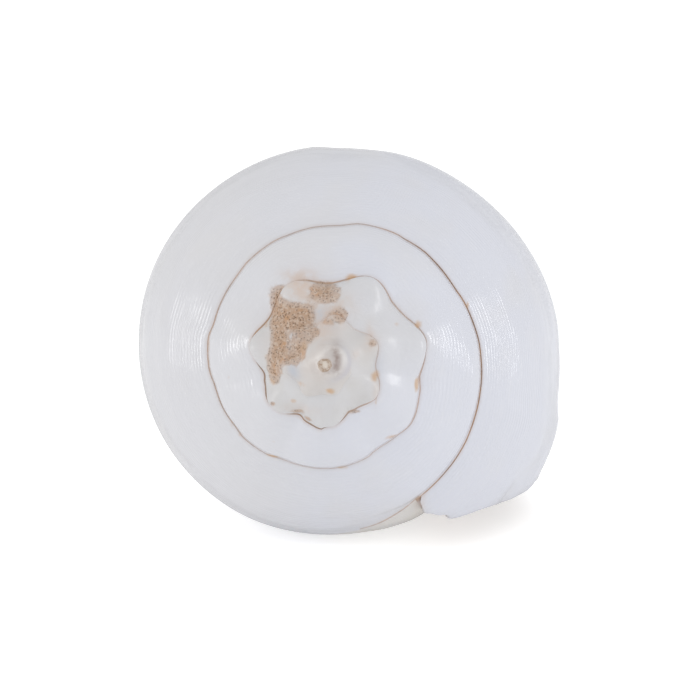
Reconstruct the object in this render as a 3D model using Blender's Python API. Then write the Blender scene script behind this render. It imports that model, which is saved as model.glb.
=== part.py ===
# A chank conch shell lying on its mouth, spire towards -Y, as one hollow-mouthed solid.
# The wall is a profile carried round a growing spiral. The last half turn is open at the
# lip, and its chamber narrows to a closed end inside the shell.
import math

import bmesh
import bpy
import numpy as np
from mathutils import Matrix, Vector

# Sizes at the lip, in metres
LENGTH = 0.155  # spire tip to canal tip, along the axis
SUTURE_RADIUS = 0.0338  # axis to the seam between the last two whorls
SUTURE_DEPTH = 0.0360  # spire tip to that seam, along the axis
CANAL_TIP_RADIUS = 0.0098
CANAL_CLOSING = 0.0050  # how much thinner the canal pillar is one turn earlier
WALL = 0.0032
CANAL_WALL = 0.0022

# Growth: the log of the size is GROWTH * turns + SLOWING * turns ** 2, counted from the lip
TURNS = 7
GROWTH = 0.380
SLOWING = -0.0575
OVAL = 0.012  # how much wider and narrower the last whorl is than a true spiral
OVAL_ANGLE = 33.5  # where it is widest, clockwise from +X
SWELL = [  # turns back from the lip, and how much wider the last whorl is there
    (-1.0, 0.0),
    (-0.95, 0.0),
    (-0.905, -0.002),
    (-0.86, 0.0),
    (-0.82, 0.003),
    (-0.77, 0.003),
    (-0.7, 0.0),
    (-0.46, 0.0),
    (-0.43, -0.001),
    (-0.405, -0.015),
    (-0.385, -0.012),
    (-0.36, -0.003),
    (-0.32, 0.0),
    (-0.24, -0.003),
    (-0.2, -0.008),
    (-0.178, -0.013),
    (-0.165, -0.018),
    (-0.14, -0.017),
    (-0.125, -0.007),
    (-0.1, 0.009),
    (-0.086, 0.008),
    (-0.07, 0.019),
    (-0.04, 0.025),
    (0.0, 0.025),
]
CHAMBER_TURNS = 0.5  # how far the open chamber runs back from the lip

# The whorl's profile at the lip, radius and depth: seam, shoulder, widest point, base, canal
SHOULDER = [(0.0382, 0.0386), (0.0424, 0.0420), (0.0459, 0.0461)]
BASE = [
    (0.0507, 0.0575),
    (0.0518, 0.0645),
    (0.0514, 0.0715),
    (0.0491, 0.0790),
    (0.0447, 0.0875),
    (0.0387, 0.0965),
    (0.0322, 0.1055),
    (0.0262, 0.1145),
    (0.0210, 0.1238),
    (0.0171, 0.1324),
    (0.0143, 0.1404),
    (0.0124, 0.1472),
    (0.0110, 0.1524),
    (CANAL_TIP_RADIUS, LENGTH),
]

# Knobs round the shoulder of the early whorls
KNOBS_PER_TURN = 6.7
KNOB_CREST = TURNS - 2.185  # a turn count at which a knob peaks
KNOB_WAVE = 0.078  # how far the seam swings round the knobs, as a share of its radius
KNOB_HEIGHT = 0.0036  # at the size that the shell has at its lip

# The lip's edge: the depth on the profile, and the degrees it stands back from the seam's end
LIP_ANGLE = 59.0  # where the seam ends, clockwise from +X as seen from the spire
LIP_LINE = [
    (SUTURE_DEPTH, 0.0),
    (0.0390, 1.8),
    (0.0424, 8.4),
    (0.0470, 15.4),
    (0.0520, 19.5),
    (0.0610, 25.5),
    (0.0780, 26.5),
    (0.0940, 20.0),
    (0.1090, 9.0),
    (0.1250, -4.0),
    (LENGTH, -14.0),
]
LIP_SWEEP_TURNS = 0.4  # the growth over which the wall takes up that line
LIP_ROUNDING = 0.003  # how far the lip's middle stands out past its two faces, in turns

# The pillar inside the mouth, hollowed above its folds
HOLLOW = 0.0080
HOLLOW_FROM, HOLLOW_TO = 0.058, 0.135  # depths between which it is hollowed
FOLDS = 4
FOLD_HEIGHT = 0.0018
FOLD_FROM, FOLD_TO = 0.074, 0.102  # depths of the first and last fold at the mouth
FOLD_CLIMB = 0.030  # how far a fold climbs towards the spire in one turn

# At rest on a table
REST_TILT = 15.7  # degrees that the spire points above the horizon
REST_ROLL = -0.8  # degrees that it is rolled towards its lip
FLAT_DEPTH = 0.00035  # what is worn flat where the shell touches the table

# Facets
ROWS = 36  # round one turn
SHOULDER_COLUMNS = 8
BASE_COLUMNS = 25

SHELL_COLOUR = (0.80, 0.80, 0.82, 1.0)


def clear_scene():
    for obj in list(bpy.data.objects):
        bpy.data.objects.remove(obj)


def smooth_step(low, high, value):
    share = np.clip((value - low) / (high - low), 0.0, 1.0)
    return share * share * (3.0 - 2.0 * share)


def growth(turn):
    """Size at a turn, 1 at the lip and 0 over the whole first turn."""

    def raw(back):
        return np.exp(GROWTH * back + SLOWING * back * back)

    first = raw(1.0 - TURNS)
    grown = (raw(turn - TURNS) - first) / (1.0 - first)
    return np.where(turn > 1.0, grown, 0.0)


def knob_strength(turn):
    back = turn - TURNS
    grown = smooth_step(-4.6, -3.6, back)
    faded = (1.0 - 0.85 * smooth_step(-2.3, -1.95, back)) * (1.0 - smooth_step(-1.2, -0.9, back))
    return grown * faded


def knob_wave(turn):
    return np.cos(2.0 * math.pi * KNOBS_PER_TURN * (turn - KNOB_CREST))


def seam(turn):
    """Radius and depth of the seam along the upper edge of the whorl at this turn."""
    size = growth(turn)
    swing = 1.0 + KNOB_WAVE * knob_strength(turn - 1.0) * knob_wave(turn - 1.0)
    return SUTURE_RADIUS * size * swing, SUTURE_DEPTH * size


def profile_curve():
    """The guide curve, and its points with their share of its length."""
    next_seam = seam(np.array(TURNS + 1.0))
    low = (SUTURE_RADIUS * float(growth(np.array(TURNS + 1.0))), float(next_seam[1]))
    points = [(SUTURE_RADIUS, SUTURE_DEPTH), *SHOULDER, low, *BASE]
    data = bpy.data.curves.new("whorl_profile", "CURVE")
    data.dimensions = "3D"
    data.resolution_u = 24
    spline = data.splines.new("BEZIER")
    spline.bezier_points.add(len(points) - 1)
    for knot, (radius, depth) in zip(spline.bezier_points, points):
        knot.co = (radius, 0.0, depth)
        knot.handle_left_type = "AUTO"
        knot.handle_right_type = "AUTO"
    guide = bpy.data.objects.new("whorl_profile", data)
    guide.hide_render = True
    guide.display_type = "WIRE"
    helpers = bpy.data.collections.new("guides")
    bpy.context.scene.collection.children.link(helpers)
    helpers.objects.link(guide)
    graph = bpy.context.evaluated_depsgraph_get()
    mesh = bpy.data.meshes.new_from_object(guide.evaluated_get(graph))
    line = np.array([vertex.co for vertex in mesh.vertices])[:, [0, 2]]
    bpy.data.meshes.remove(mesh)
    steps = np.hypot(*np.diff(line, axis=0).T)
    share = np.concatenate([[0.0], np.cumsum(steps)]) / steps.sum()
    next_knot = (len(SHOULDER) + 1) * data.resolution_u
    return line, share, share[next_knot]


class Wall:
    """The shell's wall: its outer face, and the chamber's face inside it."""

    def __init__(self):
        self.line, self.share, self.split = profile_curve()
        self.seam_point = self.line[0]
        self.split_point = self.at(np.array(self.split))
        slope = np.gradient(self.line, self.share, axis=0)
        self.slope = slope / np.hypot(*slope.T)[:, None]

    def at(self, share):
        radius = np.interp(share, self.share, self.line[:, 0])
        depth = np.interp(share, self.share, self.line[:, 1])
        return radius, depth

    def lip_lag(self, share):
        """How far the lip's edge stands back, in turns."""
        depths, degrees = np.array(LIP_LINE).T
        return np.interp(self.at(share)[1], depths, degrees) / 360.0

    def point(self, turn, share, inset=0.0):
        """A point of the outer face, or of the face that lies inset inside it."""
        taken_up = smooth_step(TURNS - LIP_SWEEP_TURNS, TURNS, turn)
        turn = turn - self.lip_lag(share) * taken_up
        radius, depth = self.at(share)
        top_radius, top_depth = seam(turn)
        low_radius, low_depth = seam(turn + 1.0)
        # Between this whorl's seam and the next one
        across = (radius - self.seam_point[0]) / (self.split_point[0] - self.seam_point[0])
        down = (depth - self.seam_point[1]) / (self.split_point[1] - self.seam_point[1])
        low_radius = low_radius * self.oval(turn)
        upper_radius = top_radius + (low_radius - top_radius) * across
        upper_depth = top_depth + (low_depth - top_depth) * down
        # Below the next seam, down to the canal tip
        size = growth(turn + 1.0) / growth(np.array(TURNS + 1.0))
        pillar = CANAL_TIP_RADIUS + CANAL_CLOSING * (turn - TURNS)
        fullness = (radius - CANAL_TIP_RADIUS) / (self.split_point[0] - CANAL_TIP_RADIUS)
        below = np.clip((depth - self.split_point[1]) / (LENGTH - self.split_point[1]), 0, 1)
        start = size * (LENGTH - self.split_point[1]) / (LENGTH - low_depth)
        lower_radius = pillar + (low_radius - pillar) * fullness
        lower_depth = low_depth + (LENGTH - low_depth) * below * (start + (1.0 - start) * below**2)
        lower_radius = lower_radius + self.mouth_side(turn, lower_depth)
        upper = share <= self.split
        radius = np.where(upper, upper_radius, lower_radius)
        depth = np.where(upper, upper_depth, lower_depth)
        radius, depth = self.knobs(turn, share, radius, depth)
        # Inwards along the profile's normal, straight towards the axis at the canal tip
        slope_r = np.interp(share, self.share, self.slope[:, 0])
        slope_d = np.interp(share, self.share, self.slope[:, 1])
        tip = smooth_step(0.96, 1.0, share)
        radius = radius - inset * (slope_d * (1.0 - tip) + tip)
        depth = depth + inset * slope_r * (1.0 - tip)
        angle = math.radians(LIP_ANGLE) + 2.0 * math.pi * (turn - TURNS)
        return np.stack(
            np.broadcast_arrays(radius * np.cos(angle), depth, -radius * np.sin(angle)), -1
        )

    def oval(self, turn):
        angle = LIP_ANGLE - OVAL_ANGLE + 360.0 * (turn - TURNS)
        last_whorl = smooth_step(TURNS - 1.0, TURNS - 0.9, turn)
        swell = np.interp(turn - TURNS, *np.array(SWELL).T)
        return 1.0 + OVAL * last_whorl * np.cos(2.0 * np.radians(angle)) + swell

    def knobs(self, turn, share, radius, depth):
        """Rounded knobs on the shoulder, each swelling out and towards the spire."""
        across = np.clip(share / self.split, 0.0, 1.0)
        place = smooth_step(0.3, 0.78, across) * (1.0 - smooth_step(0.78, 1.0, across))
        crest = (0.5 + 0.5 * knob_wave(turn)) ** 1.5
        size = KNOB_HEIGHT * growth(turn + 1.0) * knob_strength(turn) * place * crest
        return radius + 0.5 * size, depth - size

    def mouth_side(self, turn, depth):
        """What the hollow takes off the pillar beside the mouth, and the folds put back."""
        beside = 1.0 - smooth_step(TURNS - 1.0, TURNS - 0.87, turn)
        across = np.clip((depth - HOLLOW_FROM) / (HOLLOW_TO - HOLLOW_FROM), 0.0, 1.0)
        hollow = HOLLOW * beside * np.sin(math.pi * across) ** 1.5
        inside = 1.0 - smooth_step(TURNS - 1.02, TURNS - 0.94, turn)
        level = depth - FOLD_CLIMB * (turn - (TURNS - 1.0))
        run = (level - FOLD_FROM) / (FOLD_TO - FOLD_FROM)
        window = smooth_step(-0.12, 0.1, run) * (1.0 - smooth_step(0.9, 1.12, run))
        ridge = (0.5 + 0.5 * np.cos(2.0 * math.pi * (FOLDS - 1) * run)) ** 1.6
        return FOLD_HEIGHT * inside * window * ridge - hollow

    def thickness(self, share):
        return WALL + (CANAL_WALL - WALL) * smooth_step(0.55, 0.85, share)


def add_sheet(bm, points):
    """A grid of quads through a 2D array of points."""
    rows = [[bm.verts.new(point) for point in row] for row in points]
    for row, after in zip(rows, rows[1:]):
        for a, b, c, d in zip(row, row[1:], after[1:], after):
            bm.faces.new((a, b, c, d))


def shell_mesh(wall):
    shoulder = np.linspace(0.0, wall.split, SHOULDER_COLUMNS + 1)
    base = np.linspace(wall.split, 1.0, BASE_COLUMNS + 1)
    whole = np.concatenate([shoulder, base[1:]])
    chamber_rows = round(CHAMBER_TURNS * ROWS)
    lip_row = TURNS * ROWS
    all_turns = np.arange(lip_row + 1) / ROWS
    pillar_turns = np.arange(lip_row - ROWS - chamber_rows, lip_row - ROWS + 1) / ROWS
    base_turns = np.arange(lip_row - ROWS, lip_row + 1) / ROWS
    chamber_turns = np.arange(lip_row - chamber_rows, lip_row + 1) / ROWS

    outer_shoulder = wall.point(all_turns[:, None], shoulder[None, :])
    outer_base = wall.point(base_turns[:, None], base[None, :])
    # Inside the mouth the pillar starts where the last whorl's wall grows out of it
    pillar = wall.point(pillar_turns[:, None], base[None, 2:])
    inset = wall.thickness(whole)[None, :] * growth(chamber_turns)[:, None]
    chamber = wall.point(chamber_turns[:, None], whole[None, :], inset)
    chamber[:, 0] = pillar[:, 0]
    lip_turn = np.array([[float(TURNS)]])
    lip_outside = wall.point(lip_turn, whole[None, :])[0]
    lip_ridge = wall.point(lip_turn + LIP_ROUNDING, whole[None, :], 0.5 * wall.thickness(whole))
    lip_ridge[:, 0] = outer_base[0, 1]
    for sheet in (chamber, lip_ridge):
        for column, share in ((1, 1 / 3), (2, 2 / 3)):
            sheet[:, column] = sheet[:, 0] + share * (sheet[:, 3] - sheet[:, 0])

    bm = bmesh.new()
    add_sheet(bm, outer_shoulder)
    add_sheet(bm, outer_base)
    add_sheet(bm, pillar)
    add_sheet(bm, chamber)
    add_sheet(bm, np.stack([lip_outside, lip_ridge[0], chamber[-1]]))
    # The chamber's far end, and the canal tip with the canal's mouth cut into it
    far_end = [*chamber[0], *pillar[0][::-1]]
    canal_tip = [*pillar[:, -1], *outer_base[:, -1], lip_ridge[0, -1], *chamber[::-1, -1]]
    for outline in (far_end, canal_tip):
        bm.faces.new([bm.verts.new(point) for point in outline])
    return bm


def turn_to_rest(bm):
    """Tips the spire up, then stands the shell over the origin with its contacts under z = 0."""
    roll = Matrix.Rotation(math.radians(REST_ROLL), 3, "Y")
    tilt = Matrix.Rotation(-math.radians(REST_TILT), 3, "X")
    bmesh.ops.rotate(bm, verts=bm.verts, matrix=tilt @ roll)
    points = np.array([vertex.co for vertex in bm.verts])
    low, high = points.min(axis=0), points.max(axis=0)
    middle = (low + high) / 2.0
    shift = Vector((-middle[0], -middle[1], -low[2] - FLAT_DEPTH))
    bmesh.ops.translate(bm, verts=bm.verts, vec=shift)


def wear_flat(bm):
    """Cuts the contacts level with the table."""
    everything = [*bm.verts, *bm.edges, *bm.faces]
    bmesh.ops.bisect_plane(bm, geom=everything, plane_co=(0, 0, 0), plane_no=(0, 0, 1), clear_inner=True)
    open_edges = [edge for edge in bm.edges if edge.is_boundary]
    bmesh.ops.holes_fill(bm, edges=open_edges, sides=0)


def shell_material():
    material = bpy.data.materials.new("shell_white")
    material.use_nodes = True
    shader = material.node_tree.nodes["Principled BSDF"]
    shader.inputs["Base Color"].default_value = SHELL_COLOUR
    shader.inputs["Roughness"].default_value = 0.38
    shader.inputs["Metallic"].default_value = 0.0
    return material


def build_shell():
    bm = shell_mesh(Wall())
    bmesh.ops.remove_doubles(bm, verts=bm.verts, dist=0.00002)
    bmesh.ops.dissolve_degenerate(bm, edges=bm.edges, dist=0.00002)
    loose = [edge for edge in bm.edges if not edge.link_faces]
    bmesh.ops.delete(bm, geom=loose, context="EDGES")
    turn_to_rest(bm)
    wear_flat(bm)
    bmesh.ops.triangulate(bm, faces=[face for face in bm.faces if len(face.verts) > 4])
    bmesh.ops.recalc_face_normals(bm, faces=bm.faces)
    mesh = bpy.data.meshes.new("conch_shell")
    bm.to_mesh(mesh)
    bm.free()
    mesh.materials.append(shell_material())
    mesh.shade_smooth()
    mesh.set_sharp_from_angle(angle=math.radians(40))
    shell = bpy.data.objects.new("conch_shell", mesh)
    parts = bpy.data.collections.new("conch_shell")
    bpy.context.scene.collection.children.link(parts)
    parts.objects.link(shell)
    return shell


def main():
    clear_scene()
    build_shell()


main()
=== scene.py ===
import math
import bmesh
import bpy
from mathutils import Matrix, Vector


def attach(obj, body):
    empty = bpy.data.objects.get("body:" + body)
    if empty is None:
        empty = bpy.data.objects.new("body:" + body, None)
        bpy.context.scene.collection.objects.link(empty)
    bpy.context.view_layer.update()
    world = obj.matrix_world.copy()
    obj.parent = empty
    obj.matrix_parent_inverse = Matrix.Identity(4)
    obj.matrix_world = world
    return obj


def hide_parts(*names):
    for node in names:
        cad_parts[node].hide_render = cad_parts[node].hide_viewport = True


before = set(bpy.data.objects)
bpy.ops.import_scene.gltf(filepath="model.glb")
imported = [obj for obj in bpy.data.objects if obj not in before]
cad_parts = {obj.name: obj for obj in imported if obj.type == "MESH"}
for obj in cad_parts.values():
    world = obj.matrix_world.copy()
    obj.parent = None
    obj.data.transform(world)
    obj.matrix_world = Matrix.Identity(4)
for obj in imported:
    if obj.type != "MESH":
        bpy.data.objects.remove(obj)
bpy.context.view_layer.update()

scene = bpy.context.scene


# Numbers in a node tree: sums and products of fields add the Math nodes that work them out
class Field:
    def __init__(self, tree, socket):
        self.tree = tree
        self.socket = socket

    def run(self, operation, *others):
        node = self.tree.nodes.new("ShaderNodeMath")
        node.operation = operation
        for slot, item in zip(node.inputs, (self, *others)):
            plug(self.tree, item, slot)
        return Field(self.tree, node.outputs[0])

    def __add__(self, other):
        return self.run("ADD", other)

    def __sub__(self, other):
        return self.run("SUBTRACT", other)

    def __rsub__(self, other):
        return (self * -1.0).run("ADD", other)

    def __mul__(self, other):
        return self.run("MULTIPLY", other)

    def __truediv__(self, other):
        return self.run("DIVIDE", other)

    def __pow__(self, other):
        return self.run("POWER", other)

    __radd__ = __add__
    __rmul__ = __mul__


def plug(tree, item, slot):
    if isinstance(item, Field):
        tree.links.new(item.socket, slot)
    elif isinstance(item, bpy.types.NodeSocket):
        tree.links.new(item, slot)
    else:
        slot.default_value = item


def smoothStep(low, high, field):
    node = field.tree.nodes.new("ShaderNodeMapRange")
    node.interpolation_type = "SMOOTHSTEP"
    for slot, item in zip(node.inputs, (field, low, high)):
        plug(field.tree, item, slot)
    return Field(field.tree, node.outputs["Result"])


def wave(field):
    # a cosine, 1 at every whole number
    return (field * (2.0 * math.pi)).run("COSINE")


def point(tree, *numbers):
    node = tree.nodes.new("ShaderNodeCombineXYZ")
    for slot, number in zip(node.inputs, numbers):
        plug(tree, number, slot)
    return node.outputs[0]


def split3(tree, socket):
    node = tree.nodes.new("ShaderNodeSeparateXYZ")
    tree.links.new(socket, node.inputs[0])
    return [Field(tree, output) for output in node.outputs]


def vectorMath(tree, operation, first, second):
    node = tree.nodes.new("ShaderNodeVectorMath")
    node.operation = operation
    plug(tree, first, node.inputs[0])
    if operation == "SCALE":
        plug(tree, second, node.inputs["Scale"])
    else:
        plug(tree, second, node.inputs[1])
    return node.outputs[0]


def curveThrough(places, field):
    # a smooth line through places whose first numbers lie between 0 and 1, level beyond its ends
    top = max(abs(value) for at, value in places)
    field = field.run("MAXIMUM", places[0][0]).run("MINIMUM", places[-1][0])
    node = field.tree.nodes.new("ShaderNodeFloatCurve")
    node.mapping.clip_min_y = -1.0
    line = node.mapping.curves[0]
    line.points[0].location = (places[0][0], places[0][1] / top)
    line.points[1].location = (places[-1][0], places[-1][1] / top)
    for at, value in places[1:-1]:
        line.points.new(at, value / top)
    node.mapping.update()
    plug(field.tree, field, node.inputs["Value"])
    return Field(field.tree, node.outputs[0]) * top


def newTree(name, inputs, outputs):
    tree = bpy.data.node_groups.new(name, "GeometryNodeTree")
    for label, kind in inputs:
        tree.interface.new_socket(label, in_out="INPUT", socket_type=kind)
    for label, kind in outputs:
        tree.interface.new_socket(label, in_out="OUTPUT", socket_type=kind)
    return tree, tree.nodes.new("NodeGroupInput"), tree.nodes.new("NodeGroupOutput")


# The shell: sizes in metres at the lip, growth in turns counted from the spire
shell = {
    "Seam Radius": 0.0338,  # axis to the seam between the last two whorls, at the lip
    "Seam Depth": 0.0360,
    "Length": 0.155,
    "Canal Radius": 0.0098,
    "Canal Closing": 0.0050,  # the canal pillar is this much thinner one turn earlier
    "Turns": 7.0,
    "Growth": 0.380,
    "Slowing": -0.0575,
    "Oval": 0.012,
    "Oval Angle": 33.5,
    "Knobs Per Turn": 6.7,
    "Knob Crest": 7.0 - 2.185,
    "Knob Wave": 0.078,
    "Knob Height": 0.0036,
    "Lip Angle": 59.0,
    "Lip Sweep": 0.4,
    "Lip Rounding": 0.003,
    "Hollow": 0.0080,
    "Fold Height": 0.0018,
    "Rim Height": 0.00010,
    "Unevenness": 0.00030,
    "Mound Radius": 0.0044,  # the smooth first whorls at the tip of the spire
    "Nub Radius": 0.0017,
    "Nub Height": 0.0008,
}
shellBuild = {
    # radius and depth of the whorl's profile at the lip
    "shoulder": [(0.0382, 0.0386), (0.0424, 0.0420), (0.0459, 0.0461)],
    "base": [
        (0.0507, 0.0575), (0.0518, 0.0645), (0.0514, 0.0715), (0.0491, 0.0790), (0.0447, 0.0875),
        (0.0387, 0.0965), (0.0322, 0.1055), (0.0262, 0.1145), (0.0210, 0.1238), (0.0171, 0.1324),
        (0.0143, 0.1404), (0.0124, 0.1472), (0.0110, 0.1524),
    ],
    # depth on the profile, and degrees that the lip's edge stands back there
    "lipLine": [
        (0.0360, 0.0), (0.0390, 1.8), (0.0424, 8.4), (0.0470, 15.4), (0.0520, 19.5), (0.0610, 25.5),
        (0.0780, 26.5), (0.0940, 20.0), (0.1090, 9.0), (0.1250, -4.0), (0.1550, -14.0),
    ],
    # share of the profile, and degrees further back where the lip's edge is chipped
    "lipChips": [
        (0.0, 2.5), (0.0025, 2.2), (0.005, 1.7), (0.009, 0.9), (0.015, 0.55), (0.022, 0.3), (0.028, 0.06),
        (0.036, 0.74), (0.045, 1.26), (0.0514, 1.54), (0.0575, 2.3), (0.0613, 2.0), (0.0665, 1.15),
        (0.072, 0.0), (0.0754, 0.0), (0.0828, 0.6), (0.0905, 1.43), (0.0984, 2.12), (0.1064, 2.26),
        (0.1147, 2.14), (0.1232, 1.77), (0.1319, 0.88), (0.14, 0.1), (0.15, 0.0), (0.19, 0.05), (0.205, 0.46),
        (0.2137, 0.92), (0.2223, 1.3), (0.235, 1.5), (0.26, 1.0), (0.3, 0.3), (0.36, 0.0),
    ],
    # turns back from the lip, and how much wider the last whorl is there
    "swell": [
        (-1.0, 0.0), (-0.95, 0.0), (-0.905, -0.002), (-0.86, 0.0), (-0.82, 0.003), (-0.77, 0.003),
        (-0.7, 0.0), (-0.46, 0.0), (-0.43, -0.001), (-0.405, -0.015), (-0.385, -0.012), (-0.36, -0.003),
        (-0.32, 0.0), (-0.24, -0.003), (-0.2, -0.008), (-0.178, -0.013), (-0.165, -0.018), (-0.14, -0.017),
        (-0.125, -0.007), (-0.1, 0.009), (-0.086, 0.008), (-0.07, 0.019), (-0.04, 0.025), (0.0, 0.025),
    ],
    # turn on the seam, and how much further out than a true spiral it lies
    "waver": [
        (4.84, 0.0), (4.88, 0.0), (4.915, -0.025), (4.945, -0.008), (4.975, -0.008), (5.004, -0.024),
        (5.034, -0.079), (5.064, -0.079), (5.094, -0.006), (5.124, 0.034), (5.153, -0.027),
        (5.183, -0.087), (5.213, -0.083), (5.243, -0.029), (5.273, -0.009), (5.302, -0.051),
        (5.332, -0.073), (5.362, -0.049), (5.392, -0.004), (5.422, 0.012), (5.451, 0.017),
        (5.481, 0.015), (5.511, -0.002), (5.541, 0.006), (5.571, 0.014), (5.6, 0.018), (5.63, 0.012),
        (5.66, 0.015), (5.69, 0.015), (5.72, 0.025), (5.749, 0.05), (5.779, 0.041), (5.809, 0.002),
        (5.839, -0.032), (5.869, -0.015), (5.898, 0.03), (5.928, 0.022), (5.958, -0.02),
        (5.988, -0.038), (6.018, -0.014), (6.047, 0.003), (6.077, -0.007), (6.107, -0.025),
        (6.137, -0.031), (6.167, -0.013), (6.196, 0.005), (6.226, -0.005), (6.256, -0.027),
        (6.286, -0.026), (6.316, -0.003), (6.345, 0.009), (6.375, -0.008), (6.405, -0.035),
        (6.435, -0.029), (6.465, -0.009), (6.494, 0.005), (6.524, -0.001), (6.554, -0.016),
        (6.584, -0.015), (6.614, 0.018), (6.643, 0.028), (6.673, 0.01), (6.703, -0.001),
        (6.733, -0.011), (6.763, 0.001), (6.792, 0.01), (6.822, 0.006), (6.852, -0.003),
        (6.882, 0.005), (6.912, 0.02), (6.941, 0.029), (6.971, 0.026), (7.001, 0.028), (7.022, 0.02),
        (7.045, 0.009), (7.07, 0.0), (7.12, 0.0), (7.2, 0.0),
    ],
    "blend": 0.035,  # share of the profile over which it turns from shoulder to base
    # share of the profile, and how far the last whorl is filled out over the ledge for a next one
    "filling": [
        (0.0, 0.0), (0.085, 0.0), (0.1, 0.0), (0.1174, 0.00004), (0.126, 0.00028), (0.1349, 0.00078),
        (0.144, 0.0011), (0.1526, 0.0012), (0.162, 0.00114), (0.1707, 0.00094), (0.1803, 0.00063),
        (0.1889, 0.00034), (0.198, 0.0001), (0.2065, 0.0), (0.22, 0.0), (0.24, 0.0), (0.26, 0.0),
    ],
    "wall": 0.0032,
    "canalWall": 0.0022,
    "hollowFrom": 0.058,
    "hollowTo": 0.135,
    "folds": 4,
    "foldFrom": 0.074,
    "foldTo": 0.102,
    "foldClimb": 0.030,
    "chamberTurns": 0.5,
    "rows": 144,  # round one turn
    "shoulderColumns": 48,
    "baseColumns": 100,
    "wallColumns": 8,  # base columns over which the last whorl's wall grows out of the pillar
    "crowding": 1.5,  # how much closer the columns lie beside the seam
    "firstTurn": 3.0,  # the whorls before this one lie under the smooth mound
    "capColumns": 26,
    "moundOffset": (0.0015, 0.0008),  # the mound leans away from the nub, right and up
    "moundTop": 0.0008,  # how far the mound's top lies below the nub's
    "moundSlope": 1.0,
    "moundRing": (0.0036, 0.0009, 0.00022),  # radius, width and height of the ring on it
    "moundDish": ((0.0026, 0.0008), 0.0015, 0.0004),  # middle, radius and depth, right of the nub
    "restTilt": 15.7,
    "restRoll": -0.8,
    "restShift": (-0.003162, -0.075667, 0.051362),  # from the spire's tip, as it lies at rest
}


def growthAt(turn):
    def raw(back):
        return math.exp(shell["Growth"] * back + shell["Slowing"] * back * back)

    first = raw(1.0 - shell["Turns"])
    return (raw(turn - shell["Turns"]) - first) / (1.0 - first)


def profileGuide():
    # the profile as a curve, and the share of its length at which the next seam lies
    nextSize = growthAt(shell["Turns"] + 1.0)
    seamBelow = (shell["Seam Radius"] * nextSize, shell["Seam Depth"] * nextSize)
    knots = [(shell["Seam Radius"], shell["Seam Depth"]), *shellBuild["shoulder"], seamBelow]
    nextKnot = len(knots) - 1
    knots += [*shellBuild["base"], (shell["Canal Radius"], shell["Length"])]
    data = bpy.data.curves.new("shellProfile", "CURVE")
    data.dimensions = "3D"
    data.resolution_u = 48
    spline = data.splines.new("BEZIER")
    spline.bezier_points.add(len(knots) - 1)
    for knot, (radius, depth) in zip(spline.bezier_points, knots):
        knot.co = (radius, 0.0, depth)
        knot.handle_left_type = knot.handle_right_type = "AUTO"
    guide = bpy.data.objects.new("shellProfile", data)
    scene.collection.objects.link(guide)
    graph = bpy.context.evaluated_depsgraph_get()
    line = bpy.data.meshes.new_from_object(guide.evaluated_get(graph))
    places = [vertex.co.copy() for vertex in line.vertices]
    bpy.data.meshes.remove(line)
    steps = [(after - before).length for before, after in zip(places, places[1:])]
    share = sum(steps[: nextKnot * data.resolution_u]) / sum(steps)
    return guide, share, seamBelow, sum(steps)


guide, split, seamBelow, profileLength = profileGuide()


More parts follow.
